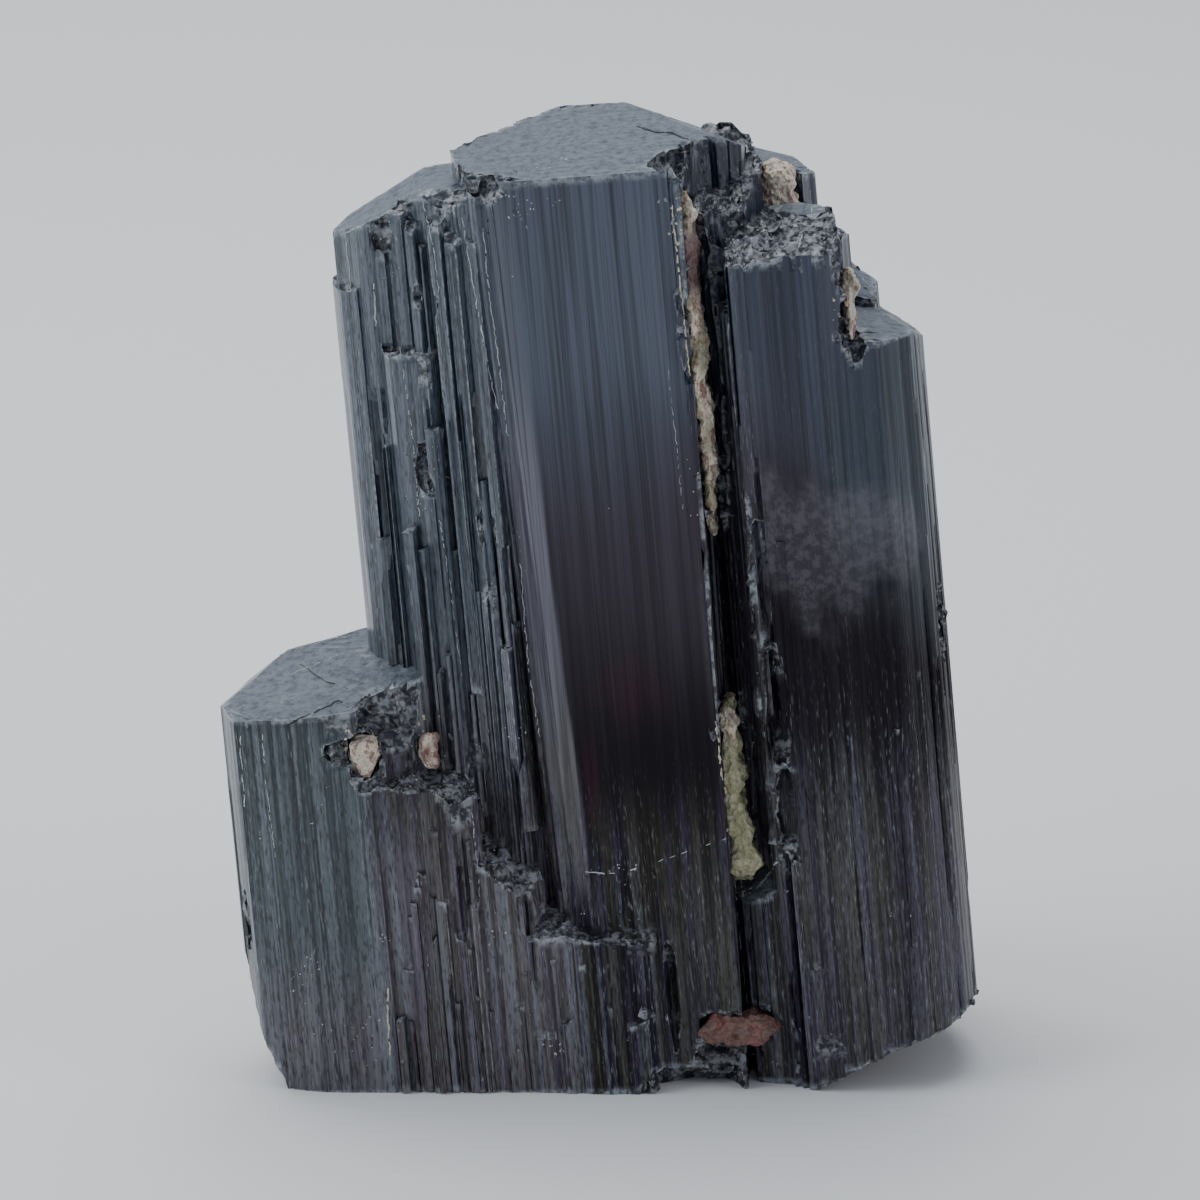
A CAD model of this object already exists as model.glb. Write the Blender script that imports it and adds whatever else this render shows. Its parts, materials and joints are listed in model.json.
"""The looks of a black tourmaline specimen: finely striated crystals, feldspar seams, clay and rubble.

Shapes are modelled in the growth frame, in millimetres: u to the right, v to the back and w along the
crystals, from the point where their axis meets the surface they stand on.
"""

import json
import math
import random
from collections import namedtuple

import bpy
import bmesh
from bpy.props import FloatProperty, FloatVectorProperty, PointerProperty
from mathutils import Matrix, Vector, noise
from mathutils.bvhtree import BVHTree

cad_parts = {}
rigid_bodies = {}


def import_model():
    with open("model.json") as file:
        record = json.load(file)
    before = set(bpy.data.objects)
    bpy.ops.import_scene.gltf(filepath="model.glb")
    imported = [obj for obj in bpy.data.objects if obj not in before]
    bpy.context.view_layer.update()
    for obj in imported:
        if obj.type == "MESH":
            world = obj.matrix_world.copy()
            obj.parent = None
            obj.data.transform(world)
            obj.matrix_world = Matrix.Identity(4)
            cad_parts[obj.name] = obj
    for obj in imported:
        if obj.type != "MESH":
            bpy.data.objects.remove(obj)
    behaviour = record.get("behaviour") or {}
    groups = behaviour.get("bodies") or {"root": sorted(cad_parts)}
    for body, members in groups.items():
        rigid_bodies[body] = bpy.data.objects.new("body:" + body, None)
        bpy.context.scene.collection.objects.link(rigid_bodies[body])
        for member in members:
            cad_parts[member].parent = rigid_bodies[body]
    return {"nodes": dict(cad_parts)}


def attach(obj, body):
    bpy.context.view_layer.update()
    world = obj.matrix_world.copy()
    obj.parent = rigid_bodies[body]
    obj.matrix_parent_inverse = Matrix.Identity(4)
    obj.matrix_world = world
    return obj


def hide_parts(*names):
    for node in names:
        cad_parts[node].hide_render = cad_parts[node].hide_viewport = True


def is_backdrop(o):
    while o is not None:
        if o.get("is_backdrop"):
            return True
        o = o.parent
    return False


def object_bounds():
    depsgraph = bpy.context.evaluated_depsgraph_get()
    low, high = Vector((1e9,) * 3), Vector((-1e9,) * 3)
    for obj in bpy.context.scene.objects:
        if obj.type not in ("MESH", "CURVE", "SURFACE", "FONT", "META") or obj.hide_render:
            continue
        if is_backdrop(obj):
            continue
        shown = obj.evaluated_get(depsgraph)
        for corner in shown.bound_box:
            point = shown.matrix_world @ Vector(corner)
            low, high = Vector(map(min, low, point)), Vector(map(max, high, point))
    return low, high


bl_info = {
    "name": "Tourmaline specimen",
    "version": (1, 0, 0),
    "blender": (4, 5, 0),
    "location": "View3D > Sidebar > Specimen",
    "description": "Builds the finished surfaces of a tourmaline specimen around its solid frame",
    "category": "Object",
}

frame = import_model()
CAD_LOW, CAD_HIGH = [Vector(corner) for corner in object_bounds()]
MM = 0.001

# Growth frame
LEAN = math.radians(5.0)
AXIS_FOOT = Vector((2.914, -14.144, 0.0)) * MM
TO_WORLD = Matrix.Translation(AXIS_FOOT) @ Matrix.Rotation(-LEAN, 4, "Y") @ Matrix.Scale(MM, 4)
TO_GROWTH = TO_WORLD.inverted()
FLOOR_SLOPE = math.tan(LEAN)

# Camera: the photograph's frame and angle
PHOTO_SIZE = 1200.0
PHOTO_BASE_ROW = 1090.0
PIXELS_PER_MM = 14.286
ELEVATION = math.radians(18.0)
LENS = 400.0
SENSOR = 36.0
AIM_DEPTH = 0.010
CAMERA_BACK = Vector((0.0, -math.cos(ELEVATION), math.sin(ELEVATION)))
CAMERA_UP = Vector((0.0, math.sin(ELEVATION), math.cos(ELEVATION)))
CAMERA_RIGHT = Vector((1.0, 0.0, 0.0))
CAMERA_DISTANCE = PHOTO_SIZE / PIXELS_PER_MM * MM / SENSOR * LENS
FRONT_FOOT = Vector(((CAD_LOW.x + CAD_HIGH.x) / 2, CAD_LOW.y, CAD_LOW.z))
CAMERA_AIM = (
    FRONT_FOOT
    + CAMERA_UP * ((PHOTO_BASE_ROW - PHOTO_SIZE / 2) / PIXELS_PER_MM * MM)
    - CAMERA_RIGHT * (MM / PIXELS_PER_MM)
    - CAMERA_BACK * AIM_DEPTH
)
CAMERA_PLACE = CAMERA_AIM + CAMERA_BACK * CAMERA_DISTANCE

# Kinds of faces
SIDE, END, BROKEN = 1, 2, 3


def smooth(low, high, value):
    share = min(max((value - low) / (high - low), 0.0), 1.0)
    return share * share * (3.0 - 2.0 * share)


def between(value, low, high, soft):
    return smooth(low - soft, low + soft, value) * (1.0 - smooth(high - soft, high + soft, value))


def chance(*keys):
    """A repeatable number from 0 to 1 for whole-number keys, by mixing their bits."""
    mixed = 40503
    for key in keys:
        mixed = (mixed ^ (int(key) * 73856093)) & 0xFFFFFFFF
        mixed = ((mixed ^ (mixed >> 15)) * 2246822519) & 0xFFFFFFFF
        mixed ^= mixed >> 13
    return mixed / 0xFFFFFFFF


def link(name, bm, to_world=True):
    """Makes an object of a bmesh, at the origin."""
    if to_world:
        bm.transform(TO_WORLD)
    mesh = bpy.data.meshes.new(name)
    bm.to_mesh(mesh)
    bm.free()
    obj = bpy.data.objects.new(name, mesh)
    bpy.context.scene.collection.objects.link(obj)
    return obj


def declare(obj, slot, material, *nodes):
    """Rides a piece on the body, and gives it its material and the nodes that it stands for."""
    obj.data.materials.append(material)
    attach(obj, "root")
    if nodes:
        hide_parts(*nodes)


def node_copy(node):
    """A merged copy of a solid of the frame, in growth millimetres."""
    bm = bmesh.new()
    bm.from_mesh(frame["nodes"][node].data)
    bmesh.ops.remove_doubles(bm, verts=bm.verts, dist=2e-7)
    bm.transform(TO_GROWTH)
    return bm


def keep_in_box(bm):
    """Holds growth-frame vertices inside the box of the solid frame."""
    for vert in bm.verts:
        place = TO_WORLD @ vert.co
        held = Vector([min(max(place[axis], CAD_LOW[axis]), CAD_HIGH[axis]) for axis in range(3)])
        if held != place:
            vert.co = TO_GROWTH @ held


# Extra columns

# A run of narrow columns along a line in plan: how far each reaches out, its width, and the ranges that
# its top and bottom are drawn from.
Run = namedtuple("Run", "start end count reach width tops bottoms seed")
COLUMNS = [
    Run((-14.6, 7.0), (-10.4, 5.2), 6, (0.06, 0.24), (0.25, 0.70), (16.0, 44.0), (-3.0, 12.0), 1),
    Run((-10.2, 5.0), (-5.6, 2.9), 10, (0.10, 0.50), (0.22, 0.60), (24.0, 63.0), (-3.0, 24.0), 2),
    Run((-12.6, 4.2), (-10.0, 3.6), 5, (0.10, 0.34), (0.25, 0.55), (30.0, 50.0), (-3.0, 20.0), 3),
    Run((-17.0, 0.6), (-10.0, 0.3), 12, (0.03, 0.20), (0.22, 0.60), (5.0, 21.5), (-3.0, -1.0), 4),
    Run((-10.8, 0.5), (-6.6, 0.4), 8, (0.03, 0.20), (0.22, 0.50), (4.0, 15.5), (-3.0, -1.0), 5),
    Run((-8.0, 0.3), (1.4, 0.2), 12, (0.03, 0.16), (0.25, 0.60), (2.0, 11.0), (-3.0, -1.0), 6),
    Run((-25.0, 1.4), (-17.2, 0.3), 9, (0.03, 0.10), (0.25, 0.70), (6.0, 27.0), (2.0, 8.0), 7),
    Run((12.6, 0.3), (20.0, 1.1), 12, (0.03, 0.10), (0.25, 0.80), (16.0, 40.0), (7.0, 15.0), 8),
    Run((14.0, 20.0), (10.0, 25.4), 6, (0.10, 0.40), (0.40, 0.90), (24.0, 50.0), (12.0, 18.0), 9),
    Run((-5.0, 26.0), (-11.2, 21.0), 6, (0.10, 0.40), (0.40, 0.90), (24.0, 50.0), (12.0, 18.0), 10),
    Run((10.0, 25.8), (-5.0, 26.4), 12, (0.10, 0.40), (0.40, 0.90), (24.0, 50.0), (12.0, 20.0), 11),
]
COLUMN_ROOT = 0.9
COLUMN_FLOOR = 0.2
COLUMN_SHORTEST = 2.0
# as shares of a column's width: the bevel of its front edges and how uneven its top is
COLUMN_BEVEL = (0.15, 0.4)
COLUMN_TOP = (-0.6, 0.4)


def column_solid(at, out, width, reach, bottom, top, rng):
    """A narrow column with bevelled front edges and an uneven top, standing out of a side."""
    along = Vector((-out.y, out.x, 0.0))
    deep = COLUMN_ROOT + reach
    bm = bmesh.new()
    bmesh.ops.create_cube(bm, size=1.0)
    upright = [
        edge
        for edge in bm.edges
        if all(vert.co.y > 0 for vert in edge.verts) and edge.verts[0].co.z * edge.verts[1].co.z < 0
    ]
    bevel = rng.uniform(*COLUMN_BEVEL)
    bmesh.ops.bevel(bm, geom=upright, affect="EDGES", offset=bevel, segments=1, profile=0.5, material=-1)
    turn = Matrix((along, out, Vector((0, 0, 1)))).transposed().to_4x4()
    middle = at + out * (reach - deep / 2) + Vector((0, 0, (top + bottom) / 2))
    bm.transform(Matrix.Translation(middle) @ turn @ Matrix.Diagonal((width, deep, top - bottom, 1.0)))
    for vert in bm.verts:
        if vert.co.z > (top + bottom) / 2:
            vert.co.z += rng.uniform(*COLUMN_TOP) * width
    return bm


def run_solids(run):
    rng = random.Random(run.seed)
    start, end = Vector((*run.start, 0.0)), Vector((*run.end, 0.0))
    along = (end - start).normalized()
    out = Vector((along.y, -along.x, 0.0))
    for index in range(run.count):
        at = start.lerp(end, (index + rng.uniform(0.1, 0.9)) / run.count)
        top = rng.uniform(*run.tops)
        bottom = max(rng.uniform(*run.bottoms), COLUMN_FLOOR - FLOOR_SLOPE * at.x)
        width = rng.uniform(*run.width)
        reach = rng.uniform(*run.reach)
        if top - bottom > COLUMN_SHORTEST:
            yield column_solid(at, out, width, reach, bottom, top, rng)


def join_solids(bm, solids, name):
    """Grows closed solids together with a bmesh."""
    base = link(name, bm, to_world=False)
    group = bpy.data.collections.new(name)
    bpy.context.scene.collection.children.link(group)
    for index, solid in enumerate(solids):
        mesh = bpy.data.meshes.new(f"{name}_{index}")
        bmesh.ops.recalc_face_normals(solid, faces=solid.faces)
        solid.to_mesh(mesh)
        solid.free()
        group.objects.link(bpy.data.objects.new(mesh.name, mesh))
    step = base.modifiers.new(name, "BOOLEAN")
    step.operation = "UNION"
    step.operand_type = "COLLECTION"
    step.collection = group
    step.solver = "MANIFOLD"
    joined = bmesh.new()
    joined.from_object(base, bpy.context.evaluated_depsgraph_get())
    for obj in list(group.objects) + [base]:
        bpy.data.objects.remove(obj)
    bpy.data.collections.remove(group)
    return joined


# Refinement

# A side leans less than this and is taller than this, in mm; an end face is larger than this, in mm2
SIDE_LEAN = 0.25
SIDE_HEIGHT = 1.6
END_AREA = 6.0
# edges are left alone up to this many times the pitch
PITCH_SLACK = 1.35
SPLIT_PASSES = 6


def classify(bm, layer):
    """Tells growth sides, flat end faces and rough breaks apart by how each face stands and its size."""
    for face in bm.faces:
        heights = [vert.co.z for vert in face.verts]
        if abs(face.normal.z) < SIDE_LEAN and max(heights) - min(heights) > SIDE_HEIGHT:
            face[layer] = SIDE
        else:
            face[layer] = END if face.calc_area() > END_AREA else BROKEN


def slice_faces(bm, faces, axis, pitch):
    """Cuts a set of faces by planes at even steps across an axis."""
    if not faces:
        return
    normal = Vector([1.0 if index == axis else 0.0 for index in range(3)])
    reach = [vert.co[axis] for face in faces for vert in face.verts]
    waiting = sorted(faces, key=lambda face: min(vert.co[axis] for vert in face.verts), reverse=True)
    active = []
    for step in range(math.floor(min(reach) / pitch), math.ceil(max(reach) / pitch) + 1):
        level = step * pitch
        while waiting and min(vert.co[axis] for vert in waiting[-1].verts) < level:
            active.append(waiting.pop())
        active = [face for face in active if max(vert.co[axis] for vert in face.verts) > level]
        if active:
            edges = {edge for face in active for edge in face.edges}
            verts = {vert for face in active for vert in face.verts}
            cut = bmesh.ops.bisect_plane(
                bm,
                geom=list(verts) + list(edges) + active,
                dist=1e-4,
                plane_co=normal * level,
                plane_no=normal,
            )
            active = [item for item in cut["geom"] if isinstance(item, bmesh.types.BMFace)]


def split_long(bm, layer, kind, pitch):
    """Halves the long edges of one kind of face until they are about as short as the pitch."""
    bmesh.ops.triangulate(bm, faces=[face for face in bm.faces if face[layer] == kind])
    for _ in range(SPLIT_PASSES):
        faces = [face for face in bm.faces if face[layer] == kind]
        edges = {edge for face in faces for edge in face.edges if edge.calc_length() > pitch * PITCH_SLACK}
        if not edges:
            break
        bmesh.ops.subdivide_edges(bm, edges=list(edges), cuts=1, use_grid_fill=True)
        split = [face for face in bm.faces if face[layer] == kind and len(face.verts) > 3]
        bmesh.ops.triangulate(bm, faces=split)


def faces_across(bm, layer, axis):
    """The growth sides that are cut across an axis: each side across its own width."""
    sides = [face for face in bm.faces if face[layer] == SIDE]
    if axis == 0:
        return [face for face in sides if abs(face.normal.y) >= abs(face.normal.x)]
    return [face for face in sides if abs(face.normal.y) < abs(face.normal.x)]


def refine(bm, settings):
    layer = bm.faces.layers.int.new("kind")
    bm.normal_update()
    classify(bm, layer)
    for axis in (0, 1):
        slice_faces(bm, faces_across(bm, layer, axis), axis, settings.column_pitch)
    slice_faces(bm, [face for face in bm.faces if face[layer] == SIDE], 2, settings.row_pitch)
    split_long(bm, layer, BROKEN, settings.break_pitch)
    split_long(bm, layer, END, settings.end_pitch)
    return layer


# Relief

# Zones of the growth sides: a box in plan and height, the depth of its striations and how deep and how
# often a column of it is cut by a slot. The first zone that holds a point counts.
Zone = namedtuple("Zone", "u v w striation slot chance")
FRONT_FACE = (-6.2, 7.4)
ZONES = [
    Zone(FRONT_FACE, (-1.0, 2.4), (46.0, 70.0), 0.014, 0.05, 0.01),
    Zone(FRONT_FACE, (-1.0, 2.4), (24.0, 46.0), 0.024, 0.08, 0.02),
    Zone(FRONT_FACE, (-1.0, 2.4), (-4.0, 24.0), 0.050, 0.16, 0.05),
    Zone((-9.6, -5.0), (-1.0, 3.4), (24.0, 70.0), 0.024, 0.10, 0.02),
    Zone((7.4, 11.8), (-1.0, 12.0), (-4.0, 70.0), 0.140, 0.90, 0.25),
    Zone((11.8, 30.0), (-1.0, 3.0), (22.0, 60.0), 0.026, 0.08, 0.02),
    Zone((11.8, 30.0), (-1.0, 3.0), (-4.0, 22.0), 0.070, 0.18, 0.05),
    Zone((-30.0, -17.0), (-1.0, 4.0), (-4.0, 40.0), 0.038, 0.14, 0.04),
    Zone((-17.0, -9.6), (-1.0, 2.5), (-4.0, 24.0), 0.090, 0.36, 0.10),
    Zone((-18.0, -7.0), (2.5, 10.0), (50.0, 70.0), 0.030, 0.20, 0.04),
    Zone((-18.0, -7.0), (2.5, 10.0), (20.0, 50.0), 0.070, 0.45, 0.10),
    Zone((-99.0, 99.0), (-9.0, 99.0), (-9.0, 99.0), 0.090, 0.40, 0.10),
]

# The sloping band along the left of the front face, in mm
BAND_TOP = -4.5
BAND_DRIFT = 0.030
BAND_BEND = 50.0
BAND_HALF = 1.05
BAND_FOOT = 12.0
BAND_FADE = 4.0
BAND_FALL = 0.42

# Broken spots: centre and half sizes
Chip = namedtuple("Chip", "at size")
CHIPS = [
    Chip((-6.0, 1.2, 65.9), (1.5, 1.0, 0.7)),
    Chip((-4.2, 0.9, 66.2), (1.0, 0.7, 0.4)),
    Chip((-8.8, 3.8, 64.6), (1.2, 1.0, 1.0)),
    Chip((6.6, 1.0, 66.6), (1.4, 1.2, 0.6)),
    Chip((7.9, 3.6, 66.5), (1.2, 2.0, 0.8)),
    Chip((9.2, 6.6, 66.4), (1.5, 1.5, 0.9)),
    Chip((-10.4, 4.0, 52.2), (0.7, 0.6, 0.8)),
    Chip((-9.4, 3.9, 24.4), (0.9, 0.8, 0.8)),
    Chip((-7.4, 3.2, 36.0), (0.6, 0.6, 1.4)),
    Chip((-5.6, 1.8, 12.6), (1.0, 0.9, 0.7)),
    Chip((-1.6, 0.5, 11.6), (1.4, 0.7, 0.5)),
    Chip((1.6, 0.4, 10.8), (0.7, 0.7, 0.8)),
    Chip((-11.0, 0.8, 21.6), (1.1, 0.9, 0.9)),
    Chip((-18.6, 0.5, 28.2), (1.0, 0.6, 0.6)),
    Chip((11.2, 1.0, 59.6), (1.0, 0.9, 0.7)),
    Chip((18.5, 1.0, 57.6), (0.6, 0.9, 1.1)),
    Chip((18.9, 1.2, 52.2), (0.7, 0.8, 0.8)),
    Chip((11.2, 1.1, 16.6), (0.6, 0.7, 1.4)),
    Chip((10.8, 0.9, 31.0), (0.5, 0.6, 2.0)),
    Chip((10.6, 1.0, 41.0), (0.4, 0.5, 1.6)),
    Chip((13.2, 0.2, 2.0), (1.2, 0.8, 0.9)),
]
CHIP_SINK = 0.45
CHIP_RAGGED = 0.35

# Striations run this far along a column before their depth changes: the least and the most more, in mm
STRIATION_RUN = 7.0
STRIATION_SPREAD = 22.0
STRIATION_SHIFT = 40.0
SLOT_TAPER = 0.12
# The facets of rough breaks: their size in mm and how deep they are for it
FACETS = ((1.1, 0.30), (0.5, 0.16))
# The edges that show wear bend by more than the first angle, and the most from the second
WEAR_ANGLES = (0.35, 1.2)


def zone_at(place):
    for zone in ZONES:
        ranges = (zone.u, zone.v, zone.w)
        if all(low <= place[axis] <= high for axis, (low, high) in enumerate(ranges)):
            return zone
    return ZONES[-1]


def band_centre(w):
    """Where the sloping band at the left of the front face runs, across the face."""
    return BAND_TOP + BAND_DRIFT * max(BAND_BEND - w, 0.0)


def striation_depth(place, normal, pitch):
    """How far a point of a growth side stands back, in mm. It changes across the side and not along it."""
    zone = zone_at(place)
    axis = 0 if abs(normal.y) >= abs(normal.x) else 1
    line = round(place[axis] / pitch)
    side = int(normal[1 - axis] > 0) + 2 * axis
    # every line of points has its own breaks along its length, and a new depth after each
    shift = STRIATION_SHIFT * chance(line, side, 1)
    along = (place.z + shift) / (STRIATION_RUN + STRIATION_SPREAD * chance(line, side, 2))
    band = math.floor(along)
    single = chance(line, side, band, 3)
    wide = 0.5 + 0.5 * noise.noise(Vector((place.x * 0.55, place.y * 0.55, place.z * 0.004 + 7.0)))
    middle = 0.5 + 0.5 * noise.noise(Vector((place.x * 1.5, place.y * 1.5, place.z * 0.012 + 3.0)))
    depth = zone.striation * (1.3 * wide + 0.8 * middle + 0.6 * single)
    if zone.u == FRONT_FACE and place.z > BAND_FOOT:
        fall = (band_centre(place.z) + BAND_HALF - place.x) / (2 * BAND_HALF)
        depth += BAND_FALL * min(max(fall, 0.0), 1.0) * smooth(BAND_FOOT, BAND_FOOT + BAND_FADE, place.z)
    if chance(line, side, band, 4) < zone.chance:
        start = along - band
        taper = smooth(0.0, SLOT_TAPER, start) * smooth(0.0, SLOT_TAPER, 1.0 - start)
        depth += zone.slot * (0.35 + 0.65 * chance(line, side, band, 5)) * taper
    return depth


def break_depth(place):
    """How far a point of a rough break stands back, in mm: small tilted facets of two sizes."""
    depth = 0.0
    for size, share in FACETS:
        near = noise.voronoi(place / size)[1][0]
        shifted = (near * 7.3, near * 5.1 + Vector((3, 1, 4)), near * 6.7 + Vector((9, 2, 6)))
        facing = Vector([noise.cell(point) for point in shifted]) * 2 - Vector((1, 1, 1))
        depth += share * size * (0.5 + (place / size - near).dot(facing) * 0.5)
    return max(depth, 0.0)


def end_depth(place):
    """How far a point of an end face stands back, in mm: low steps and growth hillocks."""
    step = noise.noise(Vector((place.x * 0.35, place.y * 0.35, 2.0)))
    stair = math.floor(step * 7.0) / 7.0
    fine = noise.noise(Vector((place.x * 1.6, place.y * 1.6, 5.0)))
    return max(0.09 * (0.6 + stair) + 0.05 * fine, 0.0)


def relief_at(vert, layer, pitch):
    """How a vertex moves for the relief of its faces, and how much of it lies on rough breaks."""
    kinds = [face[layer] for face in vert.link_faces]
    broken = kinds.count(BROKEN) / max(len(kinds), 1)
    side_faces = [face for face in vert.link_faces if face[layer] == SIDE]
    move = Vector((0.0, 0.0, 0.0))
    if side_faces:
        normal = sum((face.normal for face in side_faces), Vector()).normalized()
        move -= normal * striation_depth(vert.co, normal, pitch)
        if broken > 0.0:
            move -= vert.normal * break_depth(vert.co) * 0.35
    elif broken > 0.0:
        move -= vert.normal * break_depth(vert.co)
    elif kinds and kinds[0] == END:
        move -= vert.normal * end_depth(vert.co)
    return move, broken


def edge_wear(vert):
    """How sharp the sharpest outward edge at a vertex is, from 0 to 1."""
    least, most = WEAR_ANGLES
    convex = [edge for edge in vert.link_edges if len(edge.link_faces) == 2 and edge.is_convex]
    angles = [edge.calc_face_angle(0.0) for edge in convex]
    return max([min(angle, most) / most for angle in angles if angle > least], default=0.0)


def chip_away(verts, finish):
    """Sinks the vertices inside every broken spot and marks them as broken."""
    for chip in CHIPS:
        centre = Vector(chip.at)
        for vert in verts:
            offset = vert.co - centre
            reach = Vector([offset[axis] / chip.size[axis] for axis in range(3)]).length
            edge = 1.0 + CHIP_RAGGED * noise.noise(vert.co * 1.3)
            if 0.02 < reach < edge:
                # the broken spot faces outwards, so its points move towards the axis of the crystal
                level = abs(offset.z) < chip.size[2] * 0.6
                inward = Vector((0.0, 1.0, 0.0) if level else (0.0, 0.5, -0.8))
                sink = math.sqrt(max(edge * edge - reach * reach, 0.0))
                vert.co += inward.normalized() * sink * min(chip.size) * CHIP_SINK
                marks = vert[finish]
                vert[finish] = (1.0, marks[1] * 0.5, marks[2], 0.0)


def carve(bm, layer, settings):
    """Moves every vertex back by the relief of its faces, marks breaks and sharp edges, and colours it."""
    bm.normal_update()
    finish = bm.verts.layers.float_color.new("finish")
    zone = bm.verts.layers.float_color.new("zone")
    stain = bm.verts.layers.float_color.new("stain")
    moves = []
    for vert in bm.verts:
        place = vert.co
        move, broken = relief_at(vert, layer, settings.column_pitch)
        line = chance(round(place.x * 2.2), round(place.y * 2.2), 11)
        vert[zone], vert[stain], grit = colour_at(place, settings)
        vert[finish] = (broken, edge_wear(vert), line, grit * (1.0 - broken))
        moves.append((vert, move))
    for vert, move in moves:
        vert.co += move
    chip_away([vert for vert, _ in moves], finish)


# Fillings

# A filling: its node, its two colours, how far it swells, its width at the top and the bottom as a share
# of the node's, and how far it is shifted across, in mm
Filling = namedtuple("Filling", "node first second swell widths shift")
FILLINGS = [
    Filling("feldspar_seam_upper", "cream", "olive", 0.10, (1.0, 0.70), -0.45),
    Filling("feldspar_seam_lower", "olive", "cream", 0.10, (0.60, 1.20), -0.20),
    Filling("feldspar_top_patch", "cream", "cream", 0.20, (0.95, 1.0), 0.0),
    Filling("feldspar_edge_sliver", "cream", "olive", 0.05, (1.0, 0.45), 0.0),
    Filling("feldspar_left_grain", "cream", "cream", 0.16, (1.15, 0.95), 0.0),
    Filling("feldspar_right_grain", "cream", "stain", 0.10, (1.0, 0.8), 0.0),
]
CLAY = Filling("iron_stained_patch", "clay", "stain", 0.22, (0.9, 1.05), 0.0)
FILLING_EDGE = 0.30
FILLING_PASSES = 5


def grown_filling(filling):
    """A filling with a crumbled, angular surface."""
    bm = node_copy(filling.node)
    for _ in range(FILLING_PASSES):
        long_edges = [edge for edge in bm.edges if edge.calc_length() > FILLING_EDGE]
        if not long_edges:
            break
        bmesh.ops.subdivide_edges(bm, edges=long_edges, cuts=1)
        bmesh.ops.triangulate(bm, faces=[face for face in bm.faces if len(face.verts) > 3])
    bm.normal_update()
    low = min(vert.co.z for vert in bm.verts)
    high = max(vert.co.z for vert in bm.verts)
    middle = sum(vert.co.x for vert in bm.verts) / len(bm.verts)
    top_width, foot_width = filling.widths
    moves = []
    for vert in bm.verts:
        place = vert.co
        wide = 0.45 * noise.noise(Vector((middle, 4.0, place.z * 0.7)))
        narrow = 0.2 * noise.noise(Vector((middle, 9.0, place.z * 2.1)))
        width = foot_width + (top_width - foot_width) * (place.z - low) / (high - low)
        width *= 1.0 + wide + narrow
        crumb = noise.noise(place * 1.1) * 0.26 + noise.noise(place * 2.7) * 0.18 - 0.3 * break_depth(place)
        bent = filling.shift + 0.22 * noise.noise(Vector((middle, 2.0, place.z * 0.45)))
        target = Vector((middle + (place.x - middle) * width + bent, place.y, place.z))
        moves.append((vert, target + vert.normal * (filling.swell + crumb)))
    for vert, target in moves:
        vert.co = target
    return bm


# Loose grains, splinters and fine lines. They are placed by columns and rows of the photograph and sit on
# the crystals that the camera sees there.

# A patch of grains: its corners, how many, and the smallest and largest in mm
Patch = namedtuple("Patch", "left top right bottom count small large")
PALE_PATCHES = [
    Patch(537, 160, 552, 178, 6, 0.14, 0.34),
    Patch(558, 157, 576, 173, 7, 0.12, 0.30),
    Patch(640, 128, 690, 142, 9, 0.06, 0.14),
    Patch(500, 195, 540, 220, 14, 0.07, 0.18),
    Patch(545, 198, 562, 210, 5, 0.08, 0.20),
    Patch(478, 168, 530, 200, 10, 0.06, 0.14),
    Patch(607, 506, 610, 509, 1, 0.12, 0.14),
    Patch(512, 274, 515, 277, 1, 0.10, 0.12),
    Patch(606, 864, 640, 872, 9, 0.08, 0.26),
    Patch(722, 238, 735, 243, 7, 0.12, 0.26),
    Patch(700, 232, 800, 252, 16, 0.06, 0.16),
    Patch(862, 307, 867, 312, 1, 0.16, 0.20),
    Patch(385, 210, 410, 235, 9, 0.06, 0.16),
    Patch(380, 265, 400, 285, 6, 0.06, 0.14),
    Patch(400, 440, 440, 510, 16, 0.06, 0.16),
    Patch(326, 786, 330, 790, 2, 0.10, 0.14),
    Patch(318, 804, 322, 809, 2, 0.10, 0.14),
    Patch(310, 822, 315, 827, 2, 0.10, 0.14),
    Patch(259, 838, 263, 842, 1, 0.12, 0.14),
    Patch(290, 955, 322, 992, 16, 0.08, 0.22),
    Patch(300, 1000, 380, 1070, 14, 0.06, 0.16),
    Patch(380, 932, 392, 944, 5, 0.12, 0.26),
    Patch(498, 726, 528, 740, 9, 0.08, 0.22),
    Patch(388, 760, 462, 800, 14, 0.06, 0.18),
    Patch(888, 913, 892, 917, 2, 0.10, 0.16),
    Patch(908, 913, 912, 917, 2, 0.10, 0.16),
    Patch(943, 688, 947, 692, 1, 0.12, 0.14),
    Patch(728, 438, 733, 443, 2, 0.12, 0.16),
    Patch(716, 590, 732, 650, 10, 0.06, 0.18),
    Patch(758, 850, 785, 888, 14, 0.08, 0.20),
    Patch(486, 930, 512, 946, 11, 0.08, 0.22),
    Patch(560, 912, 585, 926, 7, 0.06, 0.18),
    Patch(540, 1040, 566, 1055, 9, 0.08, 0.22),
    Patch(745, 520, 757, 620, 8, 0.06, 0.14),
    Patch(345, 1015, 372, 1028, 5, 0.08, 0.18),
    Patch(500, 520, 530, 640, 10, 0.05, 0.12),
]
CREAM_PATCHES = [
    Patch(345, 725, 362, 765, 10, 0.16, 0.42),
    Patch(408, 715, 425, 750, 9, 0.14, 0.34),
    Patch(340, 700, 440, 790, 16, 0.07, 0.20),
    Patch(668, 196, 692, 250, 14, 0.16, 0.42),
    Patch(686, 320, 710, 530, 16, 0.10, 0.26),
    Patch(722, 730, 756, 900, 16, 0.10, 0.30),
    Patch(765, 163, 802, 226, 12, 0.12, 0.34),
    Patch(832, 285, 850, 330, 6, 0.12, 0.26),
]
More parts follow.
